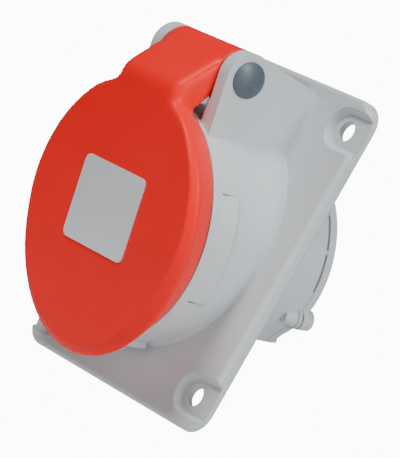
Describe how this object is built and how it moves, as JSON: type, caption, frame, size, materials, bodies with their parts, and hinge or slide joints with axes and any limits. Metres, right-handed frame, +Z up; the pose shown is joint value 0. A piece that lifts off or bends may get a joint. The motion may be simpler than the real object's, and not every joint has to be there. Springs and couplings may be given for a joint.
{
  "type": "industrial panel socket-outlet with sprung lid",
  "caption": "Grey flanged panel socket for round-pin industrial plugs, tilted down, with a red sprung lid hinged at the top and screw terminals at the rear.",
  "frame": {"origin": "centre of the four fixing holes, on the flange's back face", "axes": "-Y is the front, out of the panel; +Z up; +X to the right as seen from the front. The socket's own axis passes through the origin, tilted 15 degrees down at the front"},
  "size_m": [0.073, 0.0643, 0.085],
  "materials": {
    "grey_plastic": "moulded, satin light grey",
    "red_plastic": "moulded, glossy signal red",
    "slate_plastic": "moulded, satin slate grey",
    "dark_plastic": "moulded thermoset, matt dark grey",
    "seal_rubber": "soft matt seal",
    "plate_silver": "satin foil plate, bare",
    "brass": "turned and nickel-free",
    "steel": "zinc plated"
  },
  "bodies": {
    "base": {"housing": "grey_plastic", "hinge_pin": "slate_plastic", "pin_washer": "steel", "rear_body": "grey_plastic", "carrier_l1": "dark_plastic", "carrier_l2": "dark_plastic", "carrier_l3": "dark_plastic", "carrier_earth": "dark_plastic", "terminal_housing": "dark_plastic", "contact_l1": "brass", "contact_l2": "brass", "contact_l3": "brass", "contact_earth": "brass", "terminal_l1": "brass", "terminal_l2": "brass", "terminal_l3": "brass", "terminal_earth": "brass", "clamp_l1": "steel", "clamp_l2": "steel", "clamp_l3": "steel", "clamp_earth": "steel", "terminal_screw_l1": "steel", "terminal_screw_l2": "steel", "terminal_screw_l3": "steel", "terminal_screw_earth": "steel", "retaining_ring": "grey_plastic", "ring_screw_right": "steel", "ring_screw_left": "steel"},
    "lid": {"lid": "red_plastic", "lid_gasket": "seal_rubber", "rating_plate": "plate_silver", "hinge_spring": "steel"}
  },
  "joints": [
    {"name": "lid_hinge", "type": "hinge", "parent": "base", "child": "lid", "pos_m": [0, -0.02268, 0.03326], "axis": [-1, 0, 0], "range_deg": [0, 110], "stiffness_Nm_per_rad": 0.03, "springref_deg": -20.05}
  ]
}
